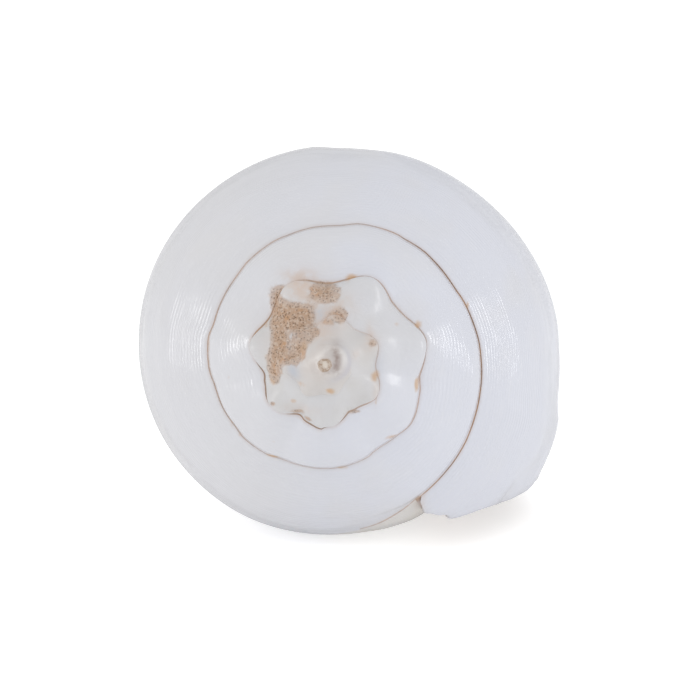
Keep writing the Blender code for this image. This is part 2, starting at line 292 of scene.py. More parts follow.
def wallTree():
    # the place of one point of the shell, from its turn, its share of the profile and its inset
    inputs = [("Profile", "NodeSocketGeometry")]
    inputs += [(label, "NodeSocketFloat") for label in ("Turn", "Share", "Inset", "Toward Tip", *shell)]
    outputs = [("Position", "NodeSocketVector"), ("Size", "NodeSocketFloat")]
    tree, start, end = newTree("shellWall", inputs, outputs)
    build = shellBuild
    firstSize = growthAt(build["firstTurn"])
    firstWaver, lastWaver = build["waver"][0][0], build["waver"][-1][0]

    def given(label):
        return Field(tree, start.outputs[label])

    turns, share, inset, length = given("Turns"), given("Share"), given("Inset"), given("Length")

    def growth(turn):
        def raw(back):
            return (back * given("Growth") + back * back * given("Slowing")).run("EXPONENT")

        first = raw(1.0 - turns)
        return ((raw(turn - turns) - first) / (1.0 - first)).run("MAXIMUM", firstSize)

    def knobStrength(turn):
        back = turn - turns
        grown = smoothStep(-4.6, -3.6, back)
        faded = 1.0 - 0.85 * smoothStep(-2.3, -1.95, back)
        return grown * faded * (1.0 - smoothStep(-1.2, -0.9, back))

    def knobWave(turn):
        return wave((turn - given("Knob Crest")) * given("Knobs Per Turn"))

    def seam(turn):
        size = growth(turn)
        swing = 1.0 + given("Knob Wave") * knobStrength(turn - 1.0) * knobWave(turn - 1.0)
        places = [((at - firstWaver) / (lastWaver - firstWaver), value) for at, value in build["waver"]]
        swing = swing + curveThrough(places, (turn - firstWaver) / (lastWaver - firstWaver))
        return given("Seam Radius") * size * swing, given("Seam Depth") * size

    profile = tree.nodes.new("GeometryNodeSampleCurve")
    profile.mode = "FACTOR"
    tree.links.new(start.outputs["Profile"], profile.inputs["Curves"])
    plug(tree, share, profile.inputs["Factor"])
    profileRadius, profileSide, profileDepth = split3(tree, profile.outputs["Position"])
    slopeRadius, slopeSide, slopeDepth = split3(tree, profile.outputs["Tangent"])

    # the lip's edge stands back from the end of the seam
    lipLine = [(depth / shell["Length"], degrees) for depth, degrees in build["lipLine"]]
    lag = curveThrough([(0.0, 0.0), *lipLine], profileDepth / length) * share.run("GREATER_THAN", 0.0) / 360.0
    turn = given("Turn") - lag * smoothStep(turns - given("Lip Sweep"), turns, given("Turn"))
    reach = build["lipChips"][-1][0]
    chipped = curveThrough([(at / reach, back) for at, back in build["lipChips"]], share / reach)
    chipped = chipped * share.run("GREATER_THAN", 0.0) / 360.0
    turn = turn - chipped * smoothStep(turns - 0.05, turns, given("Turn"))

    # between this whorl's seam and the next one
    topRadius, topDepth = seam(turn)
    lowRadius, lowDepth = seam(turn + 1.0)
    spin = given("Lip Angle") / 360.0 + turn - turns
    lastWhorl = smoothStep(turns - 1.0, turns - 0.9, turn)
    oval = given("Oval") * lastWhorl * wave((spin - given("Oval Angle") / 360.0) * 2.0)
    swell = curveThrough([(back + 1.0, wider) for back, wider in build["swell"]], turn - turns + 1.0)
    lowRadius = lowRadius * (1.0 + oval + swell)
    across = (profileRadius - shell["Seam Radius"]) / (seamBelow[0] - shell["Seam Radius"])
    down = (profileDepth - shell["Seam Depth"]) / (seamBelow[1] - shell["Seam Depth"])
    worn = 0.85 * (1.0 - smoothStep(3.7, 4.7, turn))  # the early whorls' steps are worn away
    down = down + (across - down) * worn
    upperRadius = topRadius + (lowRadius - topRadius) * across
    upperDepth = topDepth + (lowDepth - topDepth) * down

    # below the next seam, down to the canal tip
    size = growth(turn + 1.0) / growthAt(shell["Turns"] + 1.0)
    pillar = given("Canal Radius") + given("Canal Closing") * (turn - turns)
    fullness = (profileRadius - shell["Canal Radius"]) / (seamBelow[0] - shell["Canal Radius"])
    below = (profileDepth - seamBelow[1]) / (shell["Length"] - seamBelow[1])
    begin = size * (shell["Length"] - seamBelow[1]) / (length - lowDepth)
    lowerDepth = lowDepth + (length - lowDepth) * below * (begin + (1.0 - begin) * below * below)
    lowerRadius = pillar + (lowRadius - pillar) * fullness

    # the pillar beside the mouth is hollowed, and has its folds inside
    beside = 1.0 - smoothStep(turns - 1.0, turns - 0.87, turn)
    dip = (lowerDepth - build["hollowFrom"]) / (build["hollowTo"] - build["hollowFrom"])
    dip = dip.run("MAXIMUM", 0.0).run("MINIMUM", 1.0)
    hollow = given("Hollow") * beside * ((dip * math.pi).run("SINE").run("MAXIMUM", 0.0) ** 1.5)
    inside = 1.0 - smoothStep(turns - 1.02, turns - 0.94, turn)
    level = lowerDepth - (turn - turns + 1.0) * build["foldClimb"]
    run = (level - build["foldFrom"]) / (build["foldTo"] - build["foldFrom"])
    window = smoothStep(-0.12, 0.1, run) * (1.0 - smoothStep(0.9, 1.12, run))
    ridge = (0.5 + 0.5 * wave(run * (build["folds"] - 1.0))).run("MAXIMUM", 0.0) ** 1.6
    lowerRadius = lowerRadius - hollow + given("Fold Height") * inside * window * ridge

    isLower = share.run("GREATER_THAN", split)
    blend = smoothStep(split - build["blend"], split + build["blend"], share)
    blend = isLower + (blend - isLower) * lastWhorl
    radius = upperRadius + (lowerRadius - upperRadius) * blend
    depth = upperDepth + (lowerDepth - upperDepth) * blend

    # rounded knobs on the shoulder of the early whorls
    onShoulder = (share / split).run("MINIMUM", 1.0)
    place = smoothStep(0.3, 0.78, onShoulder) * (1.0 - smoothStep(0.78, 1.0, onShoulder))
    knob = given("Knob Height") * growth(turn + 1.0) * knobStrength(turn) * place
    knob = knob * ((0.5 + 0.5 * knobWave(turn)).run("MAXIMUM", 0.0) ** 1.5)
    radius = radius + knob * 0.5
    depth = depth - knob

    # inwards along the profile's normal, straight towards the axis at the canal tip
    tip = smoothStep(0.96, 1.0, share)
    radius = radius - inset * (slopeDepth * (1.0 - tip) + tip)
    depth = depth + inset * slopeRadius * (1.0 - tip)

    away = 1.0 - given("Toward Tip")
    radius, depth = radius * away, depth * away
    angle = spin * (2.0 * math.pi)
    right, up = radius * angle.run("COSINE"), radius * angle.run("SINE") * -1.0

    # the tip of the spire: a smooth mound over the first whorls, and the worn nub on it
    def hump(distance, width):
        return (distance / width * (distance / width) * -1.0).run("EXPONENT")

    def distanceFrom(middle):
        return ((right - middle[0]) ** 2.0 + (up - middle[1]) ** 2.0).run("SQRT")

    away = distanceFrom(build["moundOffset"])
    early = turn.run("LESS_THAN", build["firstTurn"] + 2.0)
    onMound = early * (1.0 - smoothStep(given("Mound Radius") * 0.72, given("Mound Radius") * 1.12, away))
    dome = ((away * away + given("Mound Radius") ** 2.0 * 0.16).run("SQRT") - given("Mound Radius") * 0.4)
    ringRadius, ringWidth, ringHeight = build["moundRing"]
    dishMiddle, dishRadius, dishDepth = build["moundDish"]
    dome = dome * build["moundSlope"] + build["moundTop"] - hump(away - ringRadius, ringWidth) * ringHeight
    dome = dome + hump(distanceFrom(dishMiddle), dishRadius) * dishDepth
    depth = depth + (dome - depth) * onMound
    ragged = wave(spin * 3.0 + 0.2) * 0.08 + wave(spin * 7.0) * 0.06 + 1.0
    fromNub = radius / (given("Nub Radius") * ragged)
    nub = (1.0 - smoothStep(0.62, 1.12, fromNub)) * (1.0 - 0.35 * (1.0 - smoothStep(0.15, 0.6, fromNub)))
    depth = depth - given("Nub Height") * nub * early
    position = point(tree, right, depth, up)
    tree.links.new(position, end.inputs["Position"])
    plug(tree, growth(turn + 1.0), end.inputs["Size"])
    return tree


def shellTree(wall):
    inputs = [("Profile", "NodeSocketObject"), ("Material", "NodeSocketMaterial")]
    inputs += [(label, "NodeSocketFloat") for label in shell]
    tree, start, end = newTree("conchShell", inputs, [("Geometry", "NodeSocketGeometry")])
    nodes, links, build = tree.nodes, tree.links, shellBuild
    turns, chamber, rows = shell["Turns"], build["chamberTurns"], build["rows"]
    shoulderColumns, baseColumns, wallColumns = build["shoulderColumns"], build["baseColumns"], build["wallColumns"]
    junction = split + (1.0 - split) * wallColumns / baseColumns
    profile = nodes.new("GeometryNodeObjectInfo")
    links.new(start.outputs["Profile"], profile.inputs["Object"])

    def given(label):
        return Field(tree, start.outputs[label])

    def wallPoint(turn, share, inset, towardTip=0.0):
        group = nodes.new("GeometryNodeGroup")
        group.node_tree = wall
        links.new(profile.outputs["Geometry"], group.inputs["Profile"])
        for label in shell:
            links.new(start.outputs[label], group.inputs[label])
        for label, item in zip(("Turn", "Share", "Inset", "Toward Tip"), (turn, share, inset, towardTip)):
            plug(tree, item, group.inputs[label])
        return group.outputs["Position"], Field(tree, group.outputs["Size"])

    def grid(name, rowCount, columnCount):
        # a flat grid, with the row and column that each of its points lies in
        node = nodes.new("GeometryNodeMeshGrid")
        node.label = name
        node.inputs["Size X"].default_value = rowCount
        node.inputs["Size Y"].default_value = columnCount
        node.inputs["Vertices X"].default_value = rowCount + 1
        node.inputs["Vertices Y"].default_value = columnCount + 1
        across, along, up = split3(tree, nodes.new("GeometryNodeInputPosition").outputs[0])
        return node.outputs[0], across + rowCount * 0.5, along + columnCount * 0.5

    def shareOf(column):
        # columns crowd towards the seam on the shoulder, and are even on the base
        onShoulder = (column / shoulderColumns).run("MAXIMUM", 0.0).run("MINIMUM", 1.0)
        onBase = ((column - shoulderColumns) / baseColumns).run("MAXIMUM", 0.0)
        return (onShoulder ** build["crowding"]) * split + onBase * (1.0 - split)

    def placed(geometry, position, turn, share, size, inner):
        for name, item, kind in (
            ("growth", point(tree, turn, share, size), "FLOAT_VECTOR"),
            ("inside", inner, "FLOAT"),
        ):
            node = nodes.new("GeometryNodeStoreNamedAttribute")
            node.data_type = kind
            node.domain = "CORNER"
            node.inputs["Name"].default_value = name
            links.new(geometry, node.inputs["Geometry"])
            plug(tree, item, node.inputs["Value"])
            geometry = node.outputs[0]
        node = nodes.new("GeometryNodeSetPosition")
        links.new(geometry, node.inputs["Geometry"])
        links.new(position, node.inputs["Position"])
        return node.outputs[0]

    def relief(turn, share, size):
        # a pale raised rim along the seam, and the slight unevenness of a grown thing
        gap = share * profileLength * size / 0.0008
        rim = given("Rim Height") * gap * (1.0 - gap).run("EXPONENT")
        noise = nodes.new("ShaderNodeTexNoise")
        noise.inputs["Scale"].default_value = 1.0
        noise.inputs["Detail"].default_value = 1.0
        links.new(point(tree, turn * 4.2, share * 8.0, 0.0), noise.inputs["Vector"])
        ends = smoothStep(0.0, 0.12, share) * (1.0 - smoothStep(0.9, 1.0, share))
        uneven = (Field(tree, noise.outputs[0]) - 0.62) * given("Unevenness") * 4.0 * ends * size
        late = smoothStep(turns - 1.0, turns - 0.9, turn)
        aboveSeam = smoothStep(0.0, 0.04, split - share)
        begun = smoothStep(build["firstTurn"], build["firstTurn"] + 0.6, turn)
        held = (late + (1.0 - late) * aboveSeam) * begun
        raised = (rim + uneven) * held * (1.0 - smoothStep(turns - 0.12, turns, turn))
        reach = build["filling"][-1][0]
        filling = curveThrough([(at / reach, high) for at, high in build["filling"]], share / reach)
        filling = filling * late * (1.0 - smoothStep(turns - 0.05, turns, turn))
        return (raised + filling) * -1.0

    def outerSheet(name, turnSpan, columnFrom, columnTo):
        rowCount = round((turnSpan[1] - turnSpan[0]) * rows)
        geometry, row, column = grid(name, rowCount, columnTo - columnFrom)
        turn = row / rows + turnSpan[0]
        share = shareOf(column + columnFrom)
        size = wallPoint(turn, share, 0.0)[1]
        inside = 1.0 if turnSpan[1] < turns else 0.0
        lift = relief(turn, share, size) if turnSpan[1] == turns else 0.0
        return placed(geometry, wallPoint(turn, share, lift)[0], turn, share, size, inside)

    allColumns = shoulderColumns + baseColumns
    pillarFrom = shoulderColumns + wallColumns
    shoulder = outerSheet("shoulder", (build["firstTurn"] - 1.0, turns), 0, shoulderColumns)
    base = outerSheet("base", (turns - 1.0, turns), shoulderColumns, allColumns)
    pillar = outerSheet("pillar", (turns - 1.0 - chamber, turns - 1.0), pillarFrom, allColumns)

    # the mound at the tip, inside the first whorl's seam
    geometry, row, column = grid("mound", rows, build["capColumns"])
    turn = row / rows + (build["firstTurn"] - 1.0)
    inwards = 1.0 - column / build["capColumns"]
    position, size = wallPoint(turn, 0.0, 0.0, inwards)
    mound = placed(geometry, position, turn, inwards * -0.2, size, 0.0)

    def thickness(share):
        return build["wall"] + (build["canalWall"] - build["wall"]) * smoothStep(0.55, 0.85, share)

    def drawnToPillar(turn, share, inset):
        # the chamber's wall, drawn to the pillar at the top where the last whorl grows out of it
        wide = 1.0 - smoothStep(0.0, split * 0.42, share)
        free = wallPoint(turn, share, inset)[0]
        root = wallPoint(turn - 1.0, junction, 0.0)[0]
        return free, vectorMath(tree, "SCALE", vectorMath(tree, "SUBTRACT", root, free), wide)

    geometry, row, column = grid("chamber", round(chamber * rows), allColumns)
    turn = row / rows + (turns - chamber)
    share = shareOf(column)
    size = wallPoint(turn - 1.0, share, 0.0)[1]
    free, drawn = drawnToPillar(turn, share, thickness(share) * size)
    inner = placed(geometry, vectorMath(tree, "ADD", free, drawn), turn, share, size, 1.0)

    # the lip's rounded edge, from the outer face to the chamber's
    geometry, row, column = grid("lip", wallColumns, allColumns)
    round_ = row * (math.pi / wallColumns)
    share = shareOf(column)
    inwards = (1.0 - round_.run("COSINE")) * 0.5
    lipTurn = given("Lip Rounding") * round_.run("SINE") + turns

    def lipPoint(share):
        free, drawn = drawnToPillar(turns, share, thickness(share))
        rounded = wallPoint(lipTurn, share, thickness(share) * inwards)[0]
        return vectorMath(tree, "ADD", rounded, vectorMath(tree, "SCALE", drawn, inwards))

    atSeam = 1.0 - smoothStep(0.0, split * 0.3, share)
    onPillar = wallPoint(turns - 1.0, row / baseColumns * (1.0 - split) + split, 0.0)[0]
    gap = vectorMath(tree, "SUBTRACT", onPillar, lipPoint(share * 0.0))
    position = vectorMath(tree, "ADD", lipPoint(share), vectorMath(tree, "SCALE", gap, atSeam))
    lip = placed(geometry, position, share * 0.0 + turns, share, 1.0, inwards)

    joined = nodes.new("GeometryNodeJoinGeometry")
    for piece in (mound, shoulder, base, pillar, inner, lip):
        links.new(piece, joined.inputs[0])
    merged = nodes.new("GeometryNodeMergeByDistance")
    merged.inputs["Distance"].default_value = 0.0000005
    links.new(joined.outputs[0], merged.inputs[0])
    realized = nodes.new("GeometryNodeRealizeInstances")
    links.new(merged.outputs[0], realized.inputs[0])
    painted = nodes.new("GeometryNodeSetMaterial")
    links.new(realized.outputs[0], painted.inputs[0])
    links.new(start.outputs["Material"], painted.inputs["Material"])
    links.new(painted.outputs[0], end.inputs["Geometry"])
    return tree


def closeEnds(mesh):
    # the chamber's far end and the canal tip, whose outlines share two corners
    edge = shell["Length"] - 0.00001
    border = [item for item in mesh.edges if item.is_boundary]
    corners = {
        vertex
        for item in border
        for vertex, other in (tuple(item.verts), tuple(item.verts)[::-1])
        if vertex.co.y > edge > other.co.y
    }
    print("open edges", len(border), "corners", len(corners))
    bridge = mesh.edges.new(list(corners))
    bmesh.ops.holes_fill(mesh, edges=[*border, bridge], sides=0)


def restOnTable(mesh):
    # tips the spire up over the origin, and wears the contacts level with the table
    roll = Matrix.Rotation(math.radians(shellBuild["restRoll"]), 3, "Y")
    tilt = Matrix.Rotation(-math.radians(shellBuild["restTilt"]), 3, "X")
    bmesh.ops.rotate(mesh, verts=mesh.verts, matrix=tilt @ roll)
    bmesh.ops.translate(mesh, verts=mesh.verts, vec=Vector(shellBuild["restShift"]))
    everything = [*mesh.verts, *mesh.edges, *mesh.faces]
    bmesh.ops.bisect_plane(mesh, geom=everything, plane_co=(0, 0, 0), plane_no=(0, 0, 1), clear_inner=True)
    bmesh.ops.holes_fill(mesh, edges=[item for item in mesh.edges if item.is_boundary], sides=0)


def buildShell(material):
    blank = bpy.data.objects.new("conchBlank", bpy.data.meshes.new("conchBlank"))
    scene.collection.objects.link(blank)
    modifier = blank.modifiers.new("shell", "NODES")
    modifier.node_group = shellTree(wallTree())
    values = {"Profile": guide, "Material": material, **shell}
    for item in modifier.node_group.interface.items_tree:
        if item.in_out == "INPUT":
            modifier[item.identifier] = values[item.name]
    graph = bpy.context.evaluated_depsgraph_get()
    data = bpy.data.meshes.new_from_object(blank.evaluated_get(graph))
    bpy.data.objects.remove(blank)
    bpy.data.objects.remove(guide)

    mesh = bmesh.new()
    mesh.from_mesh(data)
    bmesh.ops.dissolve_degenerate(mesh, edges=mesh.edges, dist=0.0000001)
    loose = [item for item in mesh.edges if not item.link_faces]
    bmesh.ops.delete(mesh, geom=loose, context="EDGES")
    closeEnds(mesh)
    restOnTable(mesh)
    bmesh.ops.triangulate(mesh, faces=[face for face in mesh.faces if len(face.verts) > 4])
    bmesh.ops.recalc_face_normals(mesh, faces=mesh.faces)
    openEdges = sum(not item.is_manifold for item in mesh.edges)
    mesh.to_mesh(data)
    mesh.free()
    data.name = "conchShell"
    data.shade_smooth()
    data.set_sharp_from_angle(angle=math.radians(42))
    piece = bpy.data.objects.new("conchShell", data)
    scene.collection.objects.link(piece)
    triangles = sum(len(face.vertices) - 2 for face in data.polygons)
    print("shell built:", triangles, "triangles,", openEdges, "open edges")
    return piece


# Colours are as the eye sees them, places and sizes are in metres
glaze = {
    "white": (218, 218, 222),
    "coolWhite": (219, 221, 230),
    "warmWhite": (219, 217, 216),
    "spireWhite": (208, 207, 207),
    "moundWhite": (208, 203, 200),
    # a painted highlight on the mound's ring
    "moundRing": (232, 230, 228),
    # painted shade beside the mound's ring, on the right
    "moundPaintedShade": (194, 192, 200),
    # painted shade on the inner whorl's knobs
    "oval": (192, 197, 206),
    "rim": (228, 228, 232),
    "line": (136, 104, 76),
    "tanLine": (196, 146, 94),
    "stain": (184, 154, 130),
    "stainDark": (128, 98, 74),
    "stainPale": (208, 190, 174),
    "stainOrange": (190, 142, 98),
    "flush": (210, 192, 180),
    "spot": (202, 162, 118),
    "nub": (160, 132, 108),
    "nubPale": (216, 206, 194),
    # a painted shadow beside the nub, with brown dirt
    "shade": (140, 120, 112),
    "callus": (224, 220, 214),
    "chamber": (226, 205, 188),
    "lineWidth": 0.00024,
    "threadSpacing": 0.00092,
    "threadDepth": 0.000040,
    "grainSize": 0.00050,
    "roughness": 0.13,
}

# How dark the seam is in broad stretches, from the spire to the lip
seamLine = [
    (2.6, 0.0), (4.4, 0.0), (4.8, 0.3), (5.0, 0.5), (5.15, 0.8), (5.55, 0.8), (5.65, 0.4), (5.9, 0.4),
    (6.0, 0.1), (6.15, 0.1), (6.3, 0.5), (6.45, 0.4), (6.6, 0.3), (6.75, 0.9), (7.0, 0.7),
]

# Marks on the spire: middle, radii, strength. The stained patches run into one another
stains = [
    ((-0.0133, -0.0549, 0.0601), (0.0017, 0.0035, 0.0019), 0.9),
    ((-0.0111, -0.0613, 0.0585), (0.0033, 0.0065, 0.0016), 1.0),
    ((-0.0077, -0.0631, 0.0578), (0.0016, 0.0038, 0.0016), 0.95),
    ((-0.0138, -0.0604, 0.0558), (0.0012, 0.0042, 0.0019), 0.95),
    ((-0.0101, -0.0638, 0.0565), (0.0027, 0.0055, 0.0012), 0.9),
    ((-0.0124, -0.0641, 0.0535), (0.0014, 0.0045, 0.0021), 1.0),
    ((-0.0129, -0.0657, 0.0506), (0.0014, 0.0045, 0.0021), 1.0),
    ((-0.0138, -0.0655, 0.0466), (0.0014, 0.0052, 0.0025), 0.95),
    ((-0.0082, -0.0687, 0.0529), (0.0014, 0.0045, 0.0020), 0.9),
    ((-0.0101, -0.0681, 0.0507), (0.0014, 0.0035, 0.0014), 0.8),
    ((-0.0028, -0.0580, 0.0615), (0.0023, 0.0048, 0.0019), 0.85),
    ((-0.0053, -0.0579, 0.0618), (0.0019, 0.0038, 0.0012), 0.6),
    ((0.0003, -0.0628, 0.0583), (0.0012, 0.0032, 0.0012), 0.72),
    ((-0.0018, -0.0658, 0.0577), (0.0018, 0.0041, 0.0010), 0.5),
    ((-0.0050, -0.0668, 0.0556), (0.0008, 0.0025, 0.0006), 0.62),
    ((-0.0066, -0.0680, 0.0548), (0.0012, 0.0032, 0.0008), 0.45),
    ((0.0066, -0.0659, 0.0531), (0.0010, 0.0028, 0.0008), 0.55),
    ((-0.0092, -0.0668, 0.0386), (0.0019, 0.0042, 0.0006), 0.6),
    ((-0.0065, -0.0668, 0.0369), (0.0012, 0.0032, 0.0008), 0.6),
    ((0.0023, -0.0656, 0.0384), (0.0019, 0.0042, 0.0006), 0.55),
    ((-0.0141, -0.0666, 0.0400), (0.0010, 0.0028, 0.0008), 0.5),
]

# A faint flush round them
flushes = [
    ((-0.0081, -0.0592, 0.0622), (0.0033, 0.0065, 0.0027), 0.75),
    ((-0.0095, -0.0532, 0.0634), (0.0029, 0.0058, 0.0010), 0.5),
    ((-0.0031, -0.0642, 0.0580), (0.0035, 0.0068, 0.0018), 0.6),
    ((-0.0046, -0.0667, 0.0557), (0.0025, 0.0051, 0.0014), 0.5),
    ((-0.0004, -0.0608, 0.0602), (0.0029, 0.0058, 0.0016), 0.4),
    ((-0.0113, -0.0655, 0.0525), (0.0045, 0.0097, 0.0053), 0.35),
    ((0.0059, -0.0633, 0.0542), (0.0008, 0.0042, 0.0018), 0.45),
    ((0.0064, -0.0661, 0.0527), (0.0016, 0.0038, 0.0014), 0.4),
    ((0.0073, -0.0676, 0.0433), (0.0006, 0.0061, 0.0031), 0.3),
    ((0.0032, -0.0685, 0.0515), (0.0006, 0.0025, 0.0008), 0.45),
    ((-0.0032, -0.0747, 0.0506), (0.0024, 0.0051, 0.0024), 0.35),
    ((-0.0083, -0.0675, 0.0395), (0.0033, 0.0065, 0.0012), 0.35),
    ((0.0162, -0.0478, 0.0126), (0.0011, 0.0043, 0.0019), 0.5),
]

# Tan spots
spots = [
    ((0.0071, -0.0660, 0.0462), (0.0010, 0.0028, 0.0010), 0.8),
    ((-0.0019, -0.0720, 0.0448), (0.0010, 0.0028, 0.0008), 0.85),
    ((-0.0079, -0.0703, 0.0457), (0.0012, 0.0032, 0.0008), 0.5),
    ((-0.0096, -0.0682, 0.0413), (0.0008, 0.0025, 0.0006), 0.5),
    ((0.0025, -0.0702, 0.0471), (0.0008, 0.0025, 0.0006), 0.35),
    ((0.0113, -0.0584, 0.0551), (0.0008, 0.0025, 0.0006), 0.35),
    ((0.0155, -0.0536, 0.0535), (0.0008, 0.0025, 0.0008), 0.75),
    ((0.0155, -0.0585, 0.0421), (0.0005, 0.0035, 0.0015), 1.0),
    ((0.0106, -0.0610, 0.0313), (0.0015, 0.0035, 0.0007), 0.75),
    ((-0.0002, -0.0587, 0.0236), (0.0015, 0.0035, 0.0004), 0.55),
    ((-0.0143, -0.0574, 0.0254), (0.0015, 0.0035, 0.0005), 0.85),
    ((-0.0142, -0.0613, 0.0300), (0.0006, 0.0022, 0.0005), 0.35),
    ((-0.0239, -0.0566, 0.0424), (0.0006, 0.0022, 0.0006), 0.4),
    ((0.0016, -0.0526, 0.0631), (0.0012, 0.0032, 0.0007), 1.0),
    ((-0.0158, -0.0590, 0.0547), (0.0008, 0.0025, 0.0008), 0.6),
    ((0.0257, -0.0406, 0.0540), (0.0004, 0.0026, 0.0008), 0.6),
    ((-0.0216, -0.0551, 0.0291), (0.0005, 0.0022, 0.0006), 0.45),
    ((-0.0234, -0.0542, 0.0314), (0.0004, 0.0036, 0.0015), 0.4),
    ((-0.0284, -0.0502, 0.0473), (0.0003, 0.0039, 0.0017), 0.6),
    ((0.0073, -0.0653, 0.0404), (0.0003, 0.0032, 0.0012), 0.5),
    ((-0.0074, -0.0692, 0.0535), (0.0008, 0.0032, 0.0012), 0.6),
    ((-0.0142, -0.0649, 0.0442), (0.0010, 0.0028, 0.0008), 0.6),
]

# A painted shadow beside the nub, with brown dirt in the hollow there
shades = [
    ((-0.0006, -0.0739, 0.0519), (0.0009, 0.0048, 0.0022), 1.0),
    ((-0.0018, -0.0743, 0.0497), (0.0016, 0.0038, 0.0006), 0.5),
    ((-0.0017, -0.0732, 0.0536), (0.0012, 0.0031, 0.0008), 0.4),
]

# Painted bluish-grey shade on the inner whorl's knobs
knobShades = [
    ((-0.00422, -0.06269, 0.05836), (0.003, 0.0016, 0.0012), 0.9),
    ((-0.00901, -0.06726, 0.05499), (0.0016, 0.0016, 0.0014), 1.0),
    ((-0.00947, -0.07020, 0.04841), (0.0013, 0.0016, 0.002), 1.0),
    ((0.00761, -0.06426, 0.04739), (0.0012, 0.0012, 0.0026), 0.4),
    ((-0.00301, -0.06632, 0.05672), (0.0022, 0.0012, 0.0009), 0.5),
]


def colour(name):
    # from the eye's 0 to 255 to the shader's linear values
    def linear(value):
        value = value / 255.0
        return value / 12.92 if value < 0.04045 else ((value + 0.055) / 1.055) ** 2.4

    return (*[linear(value) for value in glaze[name]], 1.0)


